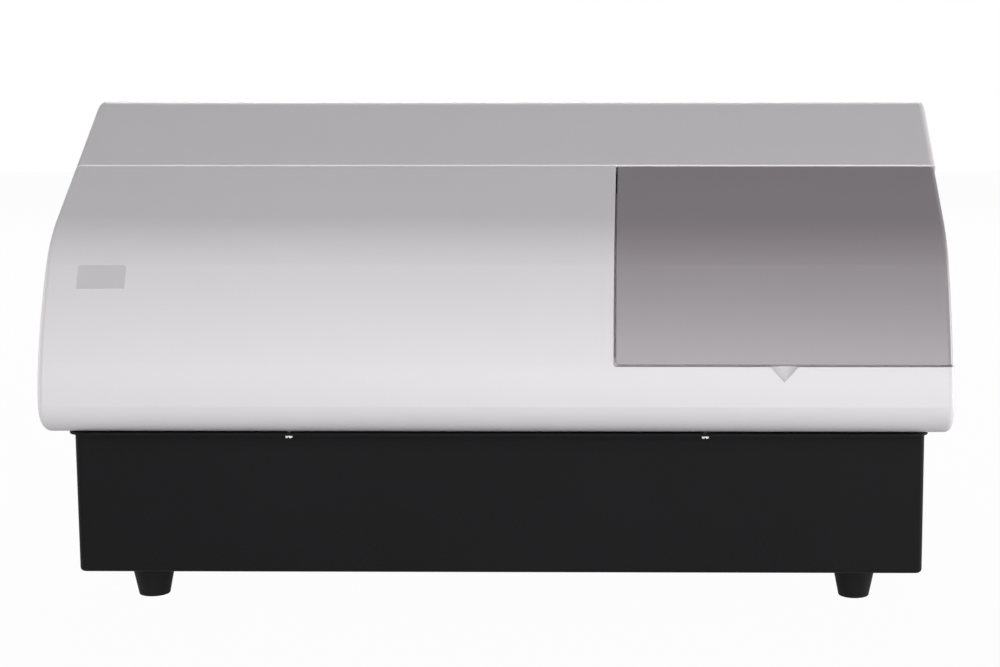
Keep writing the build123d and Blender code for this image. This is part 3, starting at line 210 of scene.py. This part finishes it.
def badge():
    """A thin blank plate stuck on the curve, with rounded corners, the upper right one the most."""
    left, right, low, high, thick = -0.2006, -0.1776, 0.1563, 0.1671, 0.00035
    seat, bevel_height, bevel_width = 0.00004, 0.0001, 0.00012
    mx, mz = (left + right) / 2, (low + high) / 2
    outline = []
    for side, level, r, start in ((right, low, 0.0003, -90), (right, high, 0.0015, 0),
                                  (left, high, 0.0007, 90), (left, low, 0.0003, 180)):
        cx, cz = side - math.copysign(r, side - mx), level - math.copysign(r, level - mz)
        for i in range(5):
            a = math.radians(start + i * 22.5)
            outline.append((cx + r * math.cos(a), cz + r * math.sin(a)))
    mesh = bmesh.new()
    rings = []
    for lift, shrink in ((seat, 0.0), (thick - bevel_height, 0.0), (thick, bevel_width)):
        ring = []
        for x, z in outline:
            x = x - math.copysign(shrink, x - mx)
            z = z - math.copysign(shrink, z - mz)
            y, lean = skin(z)
            ring.append(mesh.verts.new((x, y - lift * math.cos(lean), z + lift * math.sin(lean))))
        rings.append(ring)
    for a, b in zip(rings, rings[1:]):
        for i in range(len(a)):
            j = (i + 1) % len(a)
            mesh.faces.new((a[i], a[j], b[j], b[i]))
    mesh.faces.new(rings[-1])
    mesh.faces.new(list(reversed(rings[0])))
    bmesh.ops.triangulate(mesh, faces=[f for f in mesh.faces if len(f.verts) > 4])
    grey = finish("badge_grey", (0.615, 0.600, 0.620), 0.45, grain=2200, bump=0.05, mottle=0.01)
    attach(placed("blank_badge", mesh, grey), "housing")


badge()


# ---------------------------------------------------------------- feet, with the photograph's stronger taper
def tapered_feet():
    """The CAD feet with a wider top: a turned profile at each foot's own centre."""
    low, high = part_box("feet")
    height, cad_top, turns = high[2], 0.0093, 64
    top, bottom, edge = 0.0108, 0.0075, 0.0004
    recess, recess_top, screw_hole = 0.0040, 0.0090, 0.0021
    profile = ((recess, 0.0), (recess, recess_top), (screw_hole, recess_top), (screw_hole, height), (top, height),
               (bottom + edge * 0.2, edge), (bottom - edge * 0.3, edge * 0.3), (bottom - edge, 0.0))
    mesh = bmesh.new()
    for cx in (low[0] + cad_top, high[0] - cad_top):
        for cy in (low[1] + cad_top, high[1] - cad_top):
            rings = []
            for r, z in profile:
                rings.append([mesh.verts.new((cx + r * math.cos(math.tau * i / turns),
                                              cy + r * math.sin(math.tau * i / turns), z)) for i in range(turns)])
            for k, ring in enumerate(rings):
                after = rings[(k + 1) % len(rings)]
                for i in range(turns):
                    j = (i + 1) % turns
                    mesh.faces.new((ring[i], after[i], after[j], ring[j]))
    bmesh.ops.recalc_face_normals(mesh, faces=mesh.faces)
    feet = placed("tapered_feet", mesh, finishes["foot_rubber"])
    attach(feet, "housing")
    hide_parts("feet")


tapered_feet()


# ---------------------------------------------------------------- stage and lights
def ray_is(tree, path, *kinds):
    """An output that is 1 for camera rays and for the other kinds of ray named."""
    seen = path.outputs["Is Camera Ray"]
    for kind in kinds:
        either = node(tree, "ShaderNodeMath", (-300, 200), operation="MAXIMUM")
        tree.links.new(seen, either.inputs[0])
        tree.links.new(path.outputs[kind], either.inputs[1])
        seen = either.outputs[0]
    return seen


def floor():
    """A pale floor that keeps the shadow: nearly all its own white to the camera, matt grey to the light."""
    half, whiteness, matt_colour = 6.0, 0.975, (0.5, 0.5, 0.505, 1)
    mesh = bpy.data.meshes.new("floor")
    mesh.from_pydata([(-half, -half, 0), (half, -half, 0), (half, half, 0), (-half, half, 0)], [], [(0, 1, 2, 3)])
    ground = bpy.data.objects.new("floor", mesh)
    bpy.context.scene.collection.objects.link(ground)
    mat = bpy.data.materials.new("floor_white")
    mat.use_nodes = True
    tree = mat.node_tree
    tree.nodes.clear()
    out = node(tree, "ShaderNodeOutputMaterial", (600, 0))
    matt = node(tree, "ShaderNodeBsdfDiffuse", (0, 100))
    matt.inputs["Color"].default_value = matt_colour
    glow = node(tree, "ShaderNodeEmission", (0, -100))
    path = node(tree, "ShaderNodeLightPath", (-600, 200))
    part = node(tree, "ShaderNodeMath", (0, 300), operation="MULTIPLY")
    part.inputs[1].default_value = whiteness
    mix = node(tree, "ShaderNodeMixShader", (300, 0))
    tree.links.new(ray_is(tree, path, "Is Glossy Ray", "Is Transmission Ray"), part.inputs[0])
    tree.links.new(part.outputs[0], mix.inputs[0])
    tree.links.new(matt.outputs[0], mix.inputs[1])
    tree.links.new(glow.outputs[0], mix.inputs[2])
    tree.links.new(mix.outputs[0], out.inputs[0])
    ground.data.materials.append(mat)


def surroundings():
    """White behind the object, with a faint fill on it."""
    fill_strength = 0.02
    world = bpy.data.worlds.new("studio")
    bpy.context.scene.world = world
    world.use_nodes = True
    tree = world.node_tree
    tree.nodes.clear()
    out = node(tree, "ShaderNodeOutputWorld", (400, 0))
    seen = node(tree, "ShaderNodeBackground", (0, 100))
    seen.inputs["Color"].default_value = (1, 1, 1, 1)
    seen.inputs["Strength"].default_value = 1.0
    fill = node(tree, "ShaderNodeBackground", (0, -100))
    fill.inputs["Color"].default_value = (1, 1, 1, 1)
    fill.inputs["Strength"].default_value = fill_strength
    path = node(tree, "ShaderNodeLightPath", (-300, 300))
    mix = node(tree, "ShaderNodeMixShader", (200, 0))
    tree.links.new(ray_is(tree, path, "Is Transmission Ray"), mix.inputs[0])
    tree.links.new(fill.outputs[0], mix.inputs[1])
    tree.links.new(seen.outputs[0], mix.inputs[2])
    tree.links.new(mix.outputs[0], out.inputs[0])


def lamp(name, at, to, size, watts):
    """A soft box at one point, turned to another."""
    data = bpy.data.lights.new(name, "AREA")
    data.shape = "RECTANGLE"
    data.size, data.size_y = size
    data.energy = watts
    light = bpy.data.objects.new(name, data)
    light.location = at
    light.rotation_euler = (Vector(to) - Vector(at)).to_track_quat("-Z", "Y").to_euler()
    bpy.context.scene.collection.objects.link(light)


floor()
surroundings()
# Three soft boxes light the front: a low one from the right, one above it, and a narrow one higher up for the sheen
# on the curve. The others stand behind the front's plane and light the sides, the roof and the back.
skin_middle, middle = (0, -0.1, 0.15), (0, 0, 0.15)
lamp("front_low", (0.95, -2.85, 0.10), skin_middle, (2.4, 0.7), 43.0)
lamp("front_high", (-0.15, -2.80, 0.80), skin_middle, (2.4, 0.7), 31.5)
lamp("front_sheen", (0, -2.2, 1.55), skin_middle, (2.4, 0.5), 8.0)
lamp("left_box", (-2.4, 0.35, 0.25), middle, (1.2, 0.8), 18.0)
lamp("right_box", (2.4, 0.35, 0.25), middle, (1.2, 0.8), 44.0)
lamp("back_box", (0, 2.6, 1.75), (0, 0.1, 0.12), (2.4, 1.2), 78.0)

bpy.context.scene.view_settings.view_transform = "Standard"
